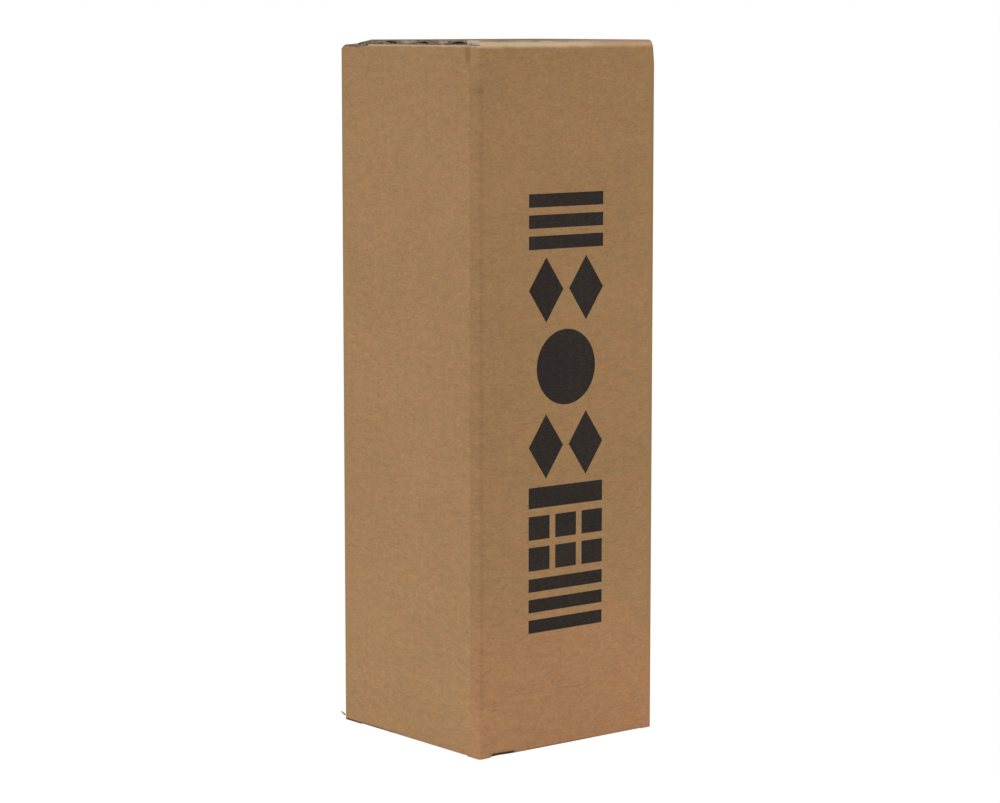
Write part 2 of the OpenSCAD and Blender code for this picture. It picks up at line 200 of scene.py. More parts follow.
def sheet_start(name, centre, turned, size):
    """One flat panel of the outer skin, as a plane at its size and place."""
    bpy.ops.object.select_all(action="DESELECT")
    bpy.ops.mesh.primitive_plane_add(size=1, location=centre, rotation=turned)
    panel = bpy.context.object
    panel.name = name
    panel.data.name = name
    panel.scale = (size[0], size[1], 1)
    bpy.ops.object.transform_apply(location=True, rotation=True, scale=True)
    return panel


def apply_modifier(piece, modifier):
    select_only(piece)
    bpy.ops.object.modifier_apply(modifier=modifier.name)


def give_thickness(piece, thickness=BOARD, offset=-1):
    """Makes a skin solid; the cut edges of a board take its second finish."""
    solid = piece.modifiers.new("thickness", "SOLIDIFY")
    solid.thickness = thickness
    solid.offset = offset
    solid.use_even_offset = True
    solid.use_rim = True
    solid.material_offset_rim = CUT_EDGE
    apply_modifier(piece, solid)


def finish_with(piece, *materials):
    for material in materials:
        piece.data.materials.append(material)


# The inside of the board, seen where it is cut

def open_flutes(board, test, depth=HOLLOW):
    """Sinks the cut edges whose middle and normal pass the test, so that the two liners stand alone."""
    open_mesh(board, "FACE")
    shape = bmesh.from_edit_mesh(board.data)
    for face in shape.faces:
        if face.material_index == CUT_EDGE and test(face.calc_center_median(), face.normal):
            face.select_set(True)
    bmesh.update_edit_mesh(board.data)
    bpy.ops.mesh.inset(thickness=LINER, depth=-depth, use_even_offset=True)
    close_mesh()


def add_medium(board, start, run, into, length, wave, lead=0, depth=HOLLOW):
    """Lays the wavy paper between the liners along a cut edge, and makes it part of the board.

    One wave is modelled and repeated. lead is how far from the start its first middle point lies.
    """
    height = (BOARD - 2 * LINER - MEDIUM) / 2
    paper = sheet_start("medium", (wave / 2, depth / 2, 0), (0, 0, 0), (wave, depth))
    open_mesh(paper)
    for step in range(1, 16):
        cut((wave * step / 16, 0, 0), (1, 0, 0))
    shape = bmesh.from_edit_mesh(paper.data)
    for vertex in shape.verts:
        vertex.co.z = height * math.sin(2 * math.pi * vertex.co.x / wave)
    bmesh.update_edit_mesh(paper.data)
    close_mesh()
    row = paper.modifiers.new("waves", "ARRAY")
    row.count = math.ceil(length / wave) + 1
    row.use_relative_offset = False
    row.use_constant_offset = True
    row.constant_offset_displace = (wave, 0, 0)
    row.use_merge_vertices = True
    row.merge_threshold = 0.00005
    apply_modifier(paper, row)
    open_mesh(paper)
    pick_all()
    move((lead % wave - wave, 0, 0))
    for end, keep in ((0, "clear_inner"), (length, "clear_outer")):
        pick_all()
        bpy.ops.mesh.bisect(plane_co=(end, 0, 0), plane_no=(1, 0, 0), **{keep: True})
    close_mesh()
    finish_with(paper, fluting)
    solid = paper.modifiers.new("paper", "SOLIDIFY")
    solid.thickness = MEDIUM
    solid.offset = 0
    apply_modifier(paper, solid)
    run = Vector(run).normalized()
    into = Vector(into).normalized()
    place = Matrix((run, into, run.cross(into))).transposed().to_4x4()
    place.translation = Vector(start)
    paper.data.transform(place)
    bpy.ops.object.select_all(action="DESELECT")
    paper.select_set(True)
    board.select_set(True)
    bpy.context.view_layer.objects.active = board
    bpy.ops.object.join()


# The carton: one sheet, folded round four corners, with its flaps

def fold_panels(sheet):
    """Carries the right panel round the carton to the glue tab inside it."""
    open_mesh(sheet)
    corner = HALF - UPRIGHT_R
    quarter = math.radians(-90)
    pick("edges", lambda p: near(p.y, -corner))
    turn(quarter, (corner, -corner, 0), (0, 0, 1), 8)
    extrude((-2 * corner, 0, 0))
    turn(quarter, (-corner, -corner, 0), (0, 0, 1), 8)
    extrude((0, 2 * corner, 0))
    turn(quarter, (-corner, corner, 0), (0, 0, 1), 8)
    extrude((TAB_X + corner, 0, 0))
    turn(quarter, (TAB_X, corner, 0), (0, 0, 1), 9)
    extrude((0, -TAB_W, 0))


def mark_flutes(sheet):
    """Keeps on each vertex its way round the carton, which runs across the flutes of every panel."""
    way = sheet.data.attributes.new("across_flutes", "FLOAT", "POINT")
    side = sheet.data.attributes.new("side_panel", "FLOAT", "POINT")
    corner = HALF - UPRIGHT_R
    for vertex in sheet.data.vertices:
        x = vertex.co.x
        y = vertex.co.y
        if near(x, HALF):
            distance = SEAM_Y - y
        elif y < -corner + TOUCH:
            distance = SEAM_Y + HALF + (HALF - x)
        elif x < -corner + TOUCH:
            distance = SEAM_Y + 3 * HALF + (y + HALF)
        elif y > corner + TOUCH or x < TAB_X:
            distance = SEAM_Y + 5 * HALF + (x + HALF)
        else:
            distance = SEAM_Y + 7 * HALF + (HALF - y)
        way.data[vertex.index].value = distance
        turned = abs(x) - abs(y)
        side.data[vertex.index].value = min(1, max(0, 0.5 + turned / (8 * MM)))


def cut_rows_and_columns():
    """Cuts the whole skin where its flaps, slits, folds and corners begin."""
    gap = SLIT / MM
    slit_end = ROOT_HALF / MM + gap
    for x in (22, 25, 47, 49, 51, 52.7, slit_end, 54.8):
        for side in (-1, 1):
            cut((side * x * MM, 0, 0), (1, 0, 0))
    for x in (-44, -40, -36):
        cut((x * MM, 0, 0), (1, 0, 0))
    for y in (-54.8, -slit_end, -52.7, -51, -49.3 - gap, -49.3, -47, -11, -3):
        cut((0, y * MM, 0), (0, 1, 0))
    for y in (35, 35 + gap, 44.5, 44.5 + gap, 47, 49, 51, 53.2, 54.8):
        cut((0, y * MM, 0), (0, 1, 0))
    for z in (FLAP_R_OUT, TAB_ENDS[0], TAB_ENDS[1], BEND_Z, BACK_Z, FRONT_CORNER_Z):
        cut((0, 0, z), (0, 0, 1))


def clear_slits_and_corners():
    """Removes what was cut away between the flaps and round the two ends of the glue tab."""
    zone = ROOT_HALF + SLIT
    shoulder = SHOULDER_Y + SLIT

    def is_waste(middle):
        x = abs(middle.x)
        y = middle.y
        z = middle.z
        on_side = x > INNER_HALF - TOUCH and abs(y) < HALF - UPRIGHT_R
        stands = x > zone and (y < SIDE_ROOT[0] - SLIT or y > SIDE_ROOT[1] + SLIT)
        if z < FLAP_R_OUT and not (stands and (on_side or abs(y) > zone)):
            return True
        if z > BEND_Z and on_side and -zone < y < shoulder:
            return True
        if z > BACK_Z and y > shoulder:
            return True
        if z > FRONT_CORNER_Z and y < -zone and x > LID_HALF:
            return True
        past_tab_end = z < TAB_ENDS[0] or z > TAB_ENDS[1]
        in_tab = HALF - TOUCH > middle.x > 55.2 * MM and 20 * MM < y < HALF - TOUCH
        return past_tab_end and in_tab

    pick_faces_at(is_waste)
    bpy.ops.mesh.delete(type="FACE")


def slant_tab():
    """Slants the glue tab's two ends towards its free edge."""
    free_y = HALF - UPRIGHT_R - TAB_W
    for end, shift in ((TAB_ENDS[0], TAB_SLANT), (TAB_ENDS[1], -TAB_SLANT)):
        pick("verts", lambda p: near(p.x, INNER_HALF) and near(p.y, free_y) and near(p.z, end))
        move((0, 0, shift))


def shape_back_edge():
    """Slopes the two shoulders, and rounds the back panel's edge down into its corners."""
    for y in (54.5, 55.3, 56.6, 57.6, 58.4):
        pick_faces_at(lambda middle: middle.z > BEND_Z and middle.y > SHOULDER_Y)
        bpy.ops.mesh.bisect(plane_co=(0, y * MM, 0), plane_no=(0, 1, 0))
    for x in (-54.5, 51.7):
        pick_faces_at(lambda middle: middle.z > BEND_Z and middle.y > HALF - TOUCH)
        bpy.ops.mesh.bisect(plane_co=(x * MM, 0, 0), plane_no=(1, 0, 0))
    pick("verts", lambda p: near(p.y, SHOULDER_Y + SLIT) and near(p.z, BACK_Z))
    move((0, 0, SHOULDER_Z - BACK_Z))
    data = bpy.context.edit_object.data
    shape = bmesh.from_edit_mesh(data)
    for vertex in shape.verts:
        p = vertex.co
        if p.z < BEND_Z - TOUCH or p.z > BACK_Z + TOUCH or p.y < HALF - ZONE:
            continue
        if p.x < 0:
            along = min(-p.x, p.y) - 56.5 * MM
        elif near(p.x, HALF):
            along = p.y - 55.3 * MM
        else:
            along = p.x - 51.7 * MM
        share = min(1, max(0, along / CORNER_ROUND))
        p.z -= CORNER_ROUND * (1 - math.sqrt(1 - share * share))
    bmesh.update_edit_mesh(data)


def fold_dust_flap(side):
    """A side panel's top flap: over its fold, then down a little to its slanted tip."""
    pick("edges", lambda p: near(p.x, side * HALF) and near(p.z, BEND_Z)
         and -ROOT_HALF - TOUCH < p.y < SHOULDER_Y + TOUCH)
    start = (side * HALF, 0, BEND_Z)
    over_and_down = 93
    length = 38.6 * MM
    front_slant = 4.5 * MM
    back_slant = 9 * MM
    tip, heading, back = fold_along(
        [(0, over_and_down, FLAP_R), (length, 0, 0)], start, (0, 0, 1), (-side, 0, 0))
    at_tip = lambda p: near(p.x, tip.x) and near(p.z, tip.z)
    squeeze(at_tip, 1, -40 * MM, -ROOT_HALF, -ROOT_HALF + front_slant)
    squeeze(at_tip, 1, 0, SHOULDER_Y, SHOULDER_Y - back_slant)
    return tip + back * BOARD / 2, -heading


def climb(lift, degrees):
    """Two soft opposite bends that lift a bottom flap by one or more boards."""
    angle = math.radians(degrees)
    length = (lift - (2 * CREASE_R + BOARD) * (1 - math.cos(angle))) / math.sin(angle)
    return [(0.1 * MM, degrees, CREASE_R), (length, -degrees, CREASE_R)]


def fold_last_flap():
    """Bottom flap of the front panel, which lies lowest and ends in a tongue."""
    pick("edges", lambda p: near(p.y, -HALF) and near(p.z, FLAP_R_OUT) and abs(p.x) < ROOT_HALF + TOUCH)
    place, heading, back = fold_along(
        [(0, 90, FLAP_R), (6 * MM, 0, 0)], (0, -HALF, FLAP_R_OUT), (0, 0, -1), (0, 1, 0))
    for side in (-1, 1):
        squeeze(lambda p: near(p.y, place.y) and near(p.z, 0), 0, side * 36 * MM, side * ROOT_HALF,
                side * 46.7 * MM)
    pick("edges", lambda p: near(p.y, place.y) and near(p.z, 0))
    place, heading, back = fold_along([(8 * MM - place.y, 0, 0)], place, heading, back)
    pick("edges", lambda p: near(p.y, place.y) and near(p.z, 0) and abs(p.x) < 22 * MM + TOUCH)
    steps = climb(3 * BOARD, 30)
    steps[0] = (1 * MM, 30, CREASE_R)
    fold_along(steps + [(14 * MM, 0, 0)], place, heading, back)


def fold_side_bottom_flap(side):
    """Bottom flap of a side panel, whose front part reaches to the middle."""
    pick("edges", lambda p: near(p.x, side * HALF) and near(p.z, FLAP_R_OUT)
         and SIDE_ROOT[0] - TOUCH < p.y < SIDE_ROOT[1] + TOUCH)
    place, heading, back = fold_along(
        [(0, 90, FLAP_R)] + climb(BOARD, 20), (side * HALF, 0, FLAP_R_OUT), (0, 0, -1), (-side, 0, 0))
    short = abs(place.x) - 25 * MM
    fold_along([(short, 0, 0)], place, heading, back)
    at_short = lambda p: near(abs(p.x), 25 * MM) and near(p.z, BOARD, 0.0002) and p.x * side > 0
    squeeze(at_short, 1, -11 * MM, SIDE_ROOT[0], -44.5 * MM)
    squeeze(at_short, 1, -3 * MM, SIDE_ROOT[1], 35.5 * MM)
    pick("edges", lambda p: at_short(p) and p.y < -2.9 * MM)
    extrude(heading * 19 * MM)
    at_long = lambda p: near(abs(p.x), 6 * MM) and near(p.z, BOARD, 0.0002) and p.x * side > 0
    squeeze(at_long, 1, -11 * MM, -44.5 * MM, -40.3 * MM)
    pick("verts", lambda p: at_long(p) and near(p.y, -3 * MM))
    move((0, -8 * MM, 0))


def fold_first_flap():
    """Bottom flap of the back panel, which lies on top and leaves a notch for the tongue."""
    pick("edges", lambda p: near(p.y, HALF) and near(p.z, FLAP_R_OUT) and abs(p.x) < ROOT_HALF + TOUCH)
    place, heading, back = fold_along(
        [(0, 90, FLAP_R)] + climb(2 * BOARD, 30), (0, HALF, FLAP_R_OUT), (0, 0, -1), (0, -1, 0))
    at_climb_end = lambda p: near(p.y, place.y) and near(p.z, place.z)
    for side in (-1, 1):
        squeeze(at_climb_end, 0, side * 36 * MM, side * ROOT_HALF, side * 46.7 * MM)
    pick("edges", at_climb_end)
    place, heading, back = fold_along([(place.y - 25.4 * MM, 0, 0)], place, heading, back)
    for side in (-1, 1):
        pick("edges", lambda p: near(p.y, place.y) and near(p.z, place.z) and p.x * side > 24.9 * MM)
        fold_along([(33.4 * MM, 0, 0)], place, heading, back)


def soft_profile(stations, at):
    """Height at a place between stations, each of which is (place, height)."""
    for (a, low), (b, high) in zip(stations, stations[1:]):
        if a <= at <= b:
            return low + (high - low) * (at - a) / (b - a)
    return 0


def lean_at(p):
    """How far the front right corner leans in at a place near the top."""
    at_right = min(1, max(0, (p.x - ROOT_HALF) / (HALF - ROOT_HALF)))
    return CORNER_LEAN * max(0, p.z - TAB_ENDS[1]) * at_right


def press_panels(board):
    """Gives the panels the soft ridge and dip beside each upright fold, and eases one corner in."""
    beside_fold = ((4, 0), (5.2, 0.1), (7, -0.06), (9.2, -0.24), (11, -0.14), (13, 0))
    for vertex in board.data.vertices:
        p = vertex.co
        if TAB_ENDS[0] - TOUCH < p.z < TAB_ENDS[1] + TOUCH:
            if abs(p.x) > INNER_HALF - TOUCH:
                p.x += math.copysign(MM, p.x) * soft_profile(beside_fold, (HALF - abs(p.y)) / MM)
            elif abs(p.y) > INNER_HALF - TOUCH:
                p.y += math.copysign(MM, p.y) * soft_profile(beside_fold, (HALF - abs(p.x)) / MM)
        if p.z > TAB_ENDS[1]:
            at_front = min(1, max(0, (ROOT_HALF + p.y) / (-3.3 * MM)))
            p.x -= lean_at(p) * at_front


def pressed_corner(a, b, radius, edge_radius):
    """Moves a place on a round of one radius out to the same corner with a tighter edge."""
    flat = radius - edge_radius
    whole = math.hypot(a, b)
    reach = radius * whole / max(a, b)
    if radius * min(a, b) / max(a, b) > flat:
        way = (a + b) / whole
        reach = flat * way + math.sqrt(flat ** 2 * (way ** 2 - 2) + edge_radius ** 2)
    return reach * a / whole, reach * b / whole


def on_round(a, b, radius):
    return a > -TOUCH and b > -TOUCH and abs(math.hypot(a, b) - radius) < 0.05 * MM


def press_folds(board):
    """Draws the outside of the folds into tight edges, and that of the top ones into small beads."""
    pivot = HALF - FLAP_R_OUT
    corner = HALF - UPRIGHT_R
    bead_out = (
        (0, 3.4), (35, 3.4), (45, 3.3), (52, 3.05), (60, 2.7), (68, 2.3), (76, 1.7), (85, 0.6), (93, -0.18))
    bead_up = (
        (0, 0), (20, 1.9), (35, 3), (45, 3.6), (52, 3.9), (60, 3.75), (68, 3.45), (76, 3.4), (93, 3.39))
    for vertex in board.data.vertices:
        p = vertex.co
        out = abs(p.x) - pivot
        up = p.z - BEND_Z
        if abs(math.hypot(out, up) - FLAP_R_OUT) < 0.05 * MM and up > 0 and abs(p.y) < ROOT_HALF + TOUCH:
            angle = math.degrees(math.atan2(up, out))
            p.x = math.copysign(pivot + soft_profile(bead_out, angle) * MM, p.x)
            p.z = BEND_Z + soft_profile(bead_up, angle) * MM
        for axis in (0, 1):
            out = abs(p[axis]) - pivot
            down = FLAP_R_OUT - p.z
            if on_round(out, down, FLAP_R_OUT):
                out, down = pressed_corner(out, down, FLAP_R_OUT, FOLD_EDGE_R)
                p[axis] = math.copysign(pivot + out, p[axis])
                p.z = FLAP_R_OUT - down
        across = abs(p.x) - corner
        along = abs(p.y) - corner
        if on_round(across, along, UPRIGHT_R) and not (p.x > 0 and p.y > 0):
            across, along = pressed_corner(across, along, UPRIGHT_R, UPRIGHT_EDGE_R)
            p.x = math.copysign(corner + across, p.x)
            p.y = math.copysign(corner + along, p.y)


def tear_back_corner(board):
    """Leaves the inner liner of the left shoulder, and the back panel's end, standing a little higher."""
    outer = ((35, -0.2), (45, 0.35), (53, 0.7), (56, 0.6), (57.5, 0))
    inner = ((35, 0), (36.2, 0.3), (38, 1.9), (41, 2.3), (49.5, 2.2), (55.6, 1.8), (57.2, 1.5))
    back = ((46, 0), (50, 1), (54.5, 1.8), (57.2, 1.5), (58.5, 0.6), (60, 0))
    for vertex in board.data.vertices:
        p = vertex.co
        if p.z < 368.5 * MM or p.x > -46 * MM or p.y < SHOULDER_Y + SLIT - TOUCH:
            continue
        if p.y > INNER_HALF - TOUCH:
            p.z += soft_profile(back, -p.x / MM) * MM
        elif p.x < -INNER_HALF + TOUCH:
            share = min(1, (HALF + p.x) / BOARD)
            y = p.y / MM
            p.z += ((1 - share) * soft_profile(outer, y) + share * soft_profile(inner, y)) * MM


def lift_bottom_fold():
    """Lifts a short stretch of the front panel's lower fold off the floor, beside the left corner."""
    slit_end = -(ROOT_HALF + SLIT) / MM
    lifts = (
        (slit_end, 0.05), (-52.7, 0.05), (-51, 0.2), (-49, 0.35),
        (-47, 0.4), (-44, 0.3), (-40, 0.15), (-36, 0.05))
    for x, height in lifts:
        pick("verts", lambda p: near(p.x, x * MM) and p.z < FLAP_R_OUT + TOUCH
             and p.y < -HALF + FLAP_R_OUT + TOUCH)
        move((0, 0, height * MM))


def make_carton_skin():
    """The outside of the folded sheet; also gives each dust flap's tip and the way into it."""
    depth = SEAM_Y + HALF - UPRIGHT_R
    centre = (HALF, (SEAM_Y - HALF + UPRIGHT_R) / 2, LID_UNDER_Z / 2)
    sheet = sheet_start("carton_board", centre, (0, math.pi / 2, 0), (LID_UNDER_Z, depth))
    fold_panels(sheet)
    close_mesh()
    mark_flutes(sheet)
    open_mesh(sheet)
    cut_rows_and_columns()
    clear_slits_and_corners()
    slant_tab()
    shape_back_edge()
    tips = [fold_dust_flap(side) for side in (-1, 1)]
    for side in (-1, 1):
        fold_side_bottom_flap(side)
    fold_last_flap()
    fold_first_flap()
    pick_all()
    bpy.ops.mesh.remove_doubles(threshold=0.00002)
    pick_all()
    bpy.ops.mesh.normals_make_consistent(inside=False)
    shape = bmesh.from_edit_mesh(sheet.data)
    front = min(shape.faces, key=lambda f: f.calc_center_median().y)
    if front.normal.y > 0:
        bpy.ops.mesh.flip_normals()
    close_mesh()
    return sheet, tips


def make_carton_board():
    """The folded sheet with its thickness, and with open flutes in the cut edges that show."""
    board, tips = make_carton_skin()
    finish_with(board, kraft_board, raw_edge)
    give_thickness(board)
    press_folds(board)
    press_panels(board)
    open_mesh(board)
    lift_bottom_fold()
    close_mesh()
    lower_mitre(board)
    middle = HALF - BOARD / 2
    shoulder = SHOULDER_Y + SLIT
    slope = Vector((0, HALF - ZONE - shoulder, BACK_Z - SHOULDER_Z))
    down = Vector((0, 0, -1))

    open_flutes(board, lambda p, n: n.z > 0.9 and p.y > INNER_HALF and abs(p.x) < 51.8 * MM and p.z > BEND_Z)
    add_medium(board, (-51 * MM, middle, BACK_Z), (1, 0, 0), down, 102 * MM, FLUTE)
    open_flutes(board, lambda p, n: n.z > 0.9 and abs(p.x) > INNER_HALF and shoulder < p.y < HALF - ZONE)
    for side in (-1, 1):
        add_medium(board, (side * middle, shoulder + 0.5 * MM, SHOULDER_Z), slope, down, 17 * MM, FLUTE)
    open_flutes(board, lambda p, n: abs(n.x) > 0.9 and abs(p.x) < 19 * MM and p.z > BEND_Z - 4 * MM)
    for tip, into in tips:
        add_medium(board, (tip.x, -47.8 * MM, tip.z), (0, 1, 0), into, 73.5 * MM, FLUTE)
    open_flutes(board, lambda p, n: abs(n.y) > 0.9 and 19 * MM < abs(p.x) < 55 * MM and p.z > BEND_Z - 4 * MM
                and -HALF + ZONE < p.y < shoulder)
    open_flutes(board, lambda p, n: n.y > 0.9 and p.x > INNER_HALF and p.y > SEAM_Y - TOUCH)
    add_medium(board, (middle, SEAM_Y, 1 * MM), (0, 0, 1), (0, -1, 0), 364 * MM, 118 * MM)
    tear_back_corner(board)
    for face in board.data.polygons:
        if face.normal.y < -0.9 and near(face.center.y, shoulder) and face.center.z > BEND_Z:
            face.material_index = PAPER
    return board


def lower_mitre(board):
    """Slopes the front panel's top edge in, where the lid's fold sits on it."""
    open_mesh(board)
    pick("verts", lambda p: near(p.z, LID_UNDER_Z) and p.y < -56 * MM and p.y > -HALF + 1.5 * MM
         and abs(p.x) < LID_HALF)
    move((0, 0, -BOARD))
    close_mesh()


# The lid, its tuck flap, and the fold that carries them

LID_START_Y = -INNER_HALF
LID_END_Y = 34.5 * MM
LID_STEPS = [(0.5 * MM, 7, 20 * MM), (16.06 * MM, 91.37, FLAP_R), (22 * MM, 0, 0)]
LID_OUTLINE = ((-60, 58.8), (34.5, 58.8), (36.9, 56.4), (50.1, 53.5), (60, 53.5))
CRUSHED_TO_Y = -48.7 * MM


def mark_lid_flutes(piece):
    """Carries the front panel's flute lines on over the fold and along the lid."""
    way = piece.data.attributes.new("across_flutes", "FLOAT", "POINT")
    for vertex in piece.data.vertices:
        way.data[vertex.index].value = SEAM_Y + 2 * HALF - vertex.co.x


def make_lid_board():
    """The lid with its tuck flap, drooping a little at the back, with its side edges open."""
    centre = (0, (LID_START_Y + LID_END_Y) / 2, HEIGHT)
    board = sheet_start("lid_board", centre, (0, 0, 0), (2 * LID_HALF, LID_END_Y - LID_START_Y))
    open_mesh(board)
    pick("edges", lambda p: near(p.y, LID_END_Y))
    tip, heading, back = fold_along(LID_STEPS, (0, LID_END_Y, HEIGHT), (0, 1, 0), (0, 0, -1))
    cut((0, CRUSHED_TO_Y, 0), (0, 1, 0))
    close_mesh()
    mark_lid_flutes(board)
    for vertex in board.data.vertices:
        below_fold = vertex.co.z < HEIGHT - 6 * MM
        half = 53.5 if below_fold else soft_profile(LID_OUTLINE, vertex.co.y / MM)
        vertex.co.x *= half * MM / LID_HALF
        if near(vertex.co.y, LID_START_Y):
            vertex.co.x -= lean_at(vertex.co)
    open_mesh(board)
    pick("verts", lambda p: near(p.z, tip.z))
    bpy.ops.mesh.bevel(offset=9 * MM, segments=8, affect="VERTICES")
    pick_all()
    bpy.ops.mesh.normals_make_consistent(inside=False)
    shape = bmesh.from_edit_mesh(board.data)
    top = max(shape.faces, key=lambda face: face.calc_area())
    if top.normal.z < 0:
        bpy.ops.mesh.flip_normals()
    close_mesh()
    finish_with(board, kraft_lid, lid_edge)
    give_thickness(board)
    open_mesh(board)
    pick("verts", lambda p: near(p.z, LID_UNDER_Z, 0.0002) and near(p.y, LID_START_Y, 0.0002))
    move((0, BOARD, 0))
    close_mesh()

    middle_z = HEIGHT - BOARD / 2
    open_flutes(board, lambda p, n: abs(n.x) > 0.6 and p.z > HEIGHT - 6 * MM and CRUSHED_TO_Y < p.y < 52 * MM,
                SIDE_HOLLOW)
    open_flutes(board, lambda p, n: n.z < -0.9 and p.z < tip.z + 1 * MM)
    first_peak = 17.6 * MM
    inset = 0.3 * MM
    length = LID_END_Y - CRUSHED_TO_Y - 2 * inset
    right_lead = first_peak - SIDE_WAVE / 4 - CRUSHED_TO_Y
    left_lead = LID_END_Y - first_peak - SIDE_WAVE / 4
    for side, y, lead in ((-1, LID_END_Y - inset, left_lead), (1, CRUSHED_TO_Y + inset, right_lead)):
        add_medium(board, (side * LID_HALF, y, middle_z), (0, side, 0), (-side, 0, 0), length,
                   SIDE_WAVE, lead, SIDE_HOLLOW)
    tuck_middle = tip + back * BOARD / 2
    add_medium(board, (-44 * MM, tuck_middle.y, tuck_middle.z), (1, 0, 0), -heading, 88 * MM, FLUTE)
    return board


def make_lid_fold():
    """The scored fold along the front: a skin round a quarter turn, and the crushed board inside it."""
    fold = sheet_start("lid_fold_board", (0, -HALF, LID_UNDER_Z - 0.5 * MM), (math.pi / 2, 0, 0),
                       (2 * LID_HALF, 1 * MM))
    open_mesh(fold)
    for x in (-58, -57, -56, 56, 57, 58):
        cut((x * MM, 0, 0), (1, 0, 0))
    pick("edges", lambda p: near(p.z, LID_UNDER_Z))
    turn(math.radians(-90), (0, LID_START_Y, LID_UNDER_Z), (1, 0, 0), 12)
    extrude((0, BOARD, -BOARD))
    extrude((0, -BOARD, 0))
    extrude((0, 0, -BOARD))
    pick("verts", lambda p: near(p.y, -HALF) and p.z < LID_UNDER_Z - TOUCH)
    bpy.ops.mesh.delete(type="VERT")
    pick("edges", lambda p: near(p.y, LID_START_Y) and near(p.z, LID_UNDER_Z - BOARD))
    extrude((0, -BOARD, BOARD))
    pick_all()
    bpy.ops.mesh.remove_doubles(threshold=0.00002)
    for side in (-1, 1):
        pick("edges", lambda p: near(p.x, side * LID_HALF))
        bpy.ops.mesh.edge_face_add()
    pick_all()
    bpy.ops.mesh.normals_make_consistent(inside=False)
    close_mesh()
    corner = HALF - UPRIGHT_EDGE_R
    for vertex in fold.data.vertices:
        past = max(0, abs(vertex.co.x) - corner)
        vertex.co.y = max(vertex.co.y, -corner - math.sqrt(UPRIGHT_EDGE_R ** 2 - past ** 2))
        vertex.co.x -= lean_at(vertex.co)
    mark_lid_flutes(fold)
    finish_with(fold, kraft_lid, lid_edge)
    for face in fold.data.polygons:
        if abs(face.normal.x) > 0.9:
            face.material_index = CUT_EDGE
    return fold


def make_burr():
    """A torn sliver of liner that stands out from the lower left back corner."""
    burr = sheet_start("torn_liner", (0, 0, 0), (0, 0, 0), (3.4 * MM, 0.9 * MM))
    open_mesh(burr)
    for step in (-0.9, -0.1, 0.7):
        cut((step * MM, 0, 0), (1, 0, 0))
    pick("verts", lambda p: p.x > 1.5 * MM)
    bpy.ops.transform.resize(value=(1, 0.35, 1), center_override=(0, 0, 0))
    pick("verts", lambda p: p.x > 0.5 * MM)
    move((0, 0, 0.35 * MM))
    close_mesh()
    finish_with(burr, raw_edge)
    give_thickness(burr, 0.3 * MM, 0)
    run = Vector((-0.06, 0.86, 0.55)).normalized()
    into = Vector((1, 0.05, 0)).normalized()
    across = run.cross(into).normalized()
    place = Matrix((run, into, across)).transposed().to_4x4()
    place.translation = Vector((-59.8 * MM, 61.7 * MM, 3.0 * MM))
    burr.data.transform(place)
    return burr


# Building finishes from nodes

def add(tree, kind, inputs=(), **settings):
    """Adds a node. inputs gives its sockets a value, or another node's output to take it from."""
    made = tree.nodes.new(kind)
    for name, value in settings.items():
        setattr(made, name, value)
    for name, value in dict(inputs).items():
        if isinstance(value, bpy.types.NodeSocket):
            tree.links.new(value, made.inputs[name])
        else:
            made.inputs[name].default_value = value
    return made


def calc(tree, operation, a, b=0.0):
    return add(tree, "ShaderNodeMath", {0: a, 1: b}, operation=operation).outputs[0]


def times(tree, *parts):
    """The product of several values."""
    product = parts[0]
    for part in parts[1:]:
        product = calc(tree, "MULTIPLY", product, part)
    return product


def plus(tree, total, part, weight):
    """Adds one part to a total, by its weight."""
    return calc(tree, "ADD", total, times(tree, part, weight))


def ramp(tree, value, low, high):
    """Runs softly from 0 at low to 1 at high."""
    return add(tree, "ShaderNodeMapRange", {"Value": value, "From Min": low, "From Max": high},
               interpolation_type="SMOOTHSTEP").outputs["Result"]


def mix_colour(tree, share, a, b, blend="MIX"):
    made = add(tree, "ShaderNodeMix", {0: share, 6: a, 7: b}, data_type="RGBA", blend_type=blend)
    return made.outputs[2]


def noise(tree, place, scale, detail=2.0, roughness=0.5):
    return add(tree, "ShaderNodeTexNoise", {"Vector": place, "Scale": scale, "Detail": detail,
                                            "Roughness": roughness}).outputs["Fac"]


def off_middle(tree, place, scale, detail=2.0, roughness=0.5):
    """Noise that swings about zero."""
    return calc(tree, "SUBTRACT", noise(tree, place, scale, detail, roughness), 0.5)


def joined(tree, x, y=0.0, z=0.0):
    return add(tree, "ShaderNodeCombineXYZ", {0: x, 1: y, 2: z}).outputs[0]


def spot_at(tree, place, centre, far, close):
    """A round spot, 0 beyond the far distance from its centre and 1 within the close one."""
    away = add(tree, "ShaderNodeVectorMath", {0: place, 1: centre}, operation="DISTANCE")
    return ramp(tree, away.outputs["Value"], far, close)


def new_group(name, inputs, outputs):
    """An empty node group with named sockets: its tree, what comes in and what goes out."""
    group = bpy.data.node_groups.new(name, "ShaderNodeTree")
    kinds = {"value": "NodeSocketFloat", "colour": "NodeSocketColor"}
    for socket, kind, default in inputs:
        made = group.interface.new_socket(name=socket, in_out="INPUT", socket_type=kinds[kind])
        made.default_value = default
    for socket, kind in outputs:
        group.interface.new_socket(name=socket, in_out="OUTPUT", socket_type=kinds[kind])
    return group, group.nodes.new("NodeGroupInput").outputs, group.nodes.new("NodeGroupOutput").inputs


def use_group(tree, group, **inputs):
    made = tree.nodes.new("ShaderNodeGroup")
    made.node_tree = group
    for name, value in inputs.items():
        socket = made.inputs[name.replace("_", " ")]
        if isinstance(value, bpy.types.NodeSocket):
            tree.links.new(value, socket)
        else:
            socket.default_value = value
    return made.outputs


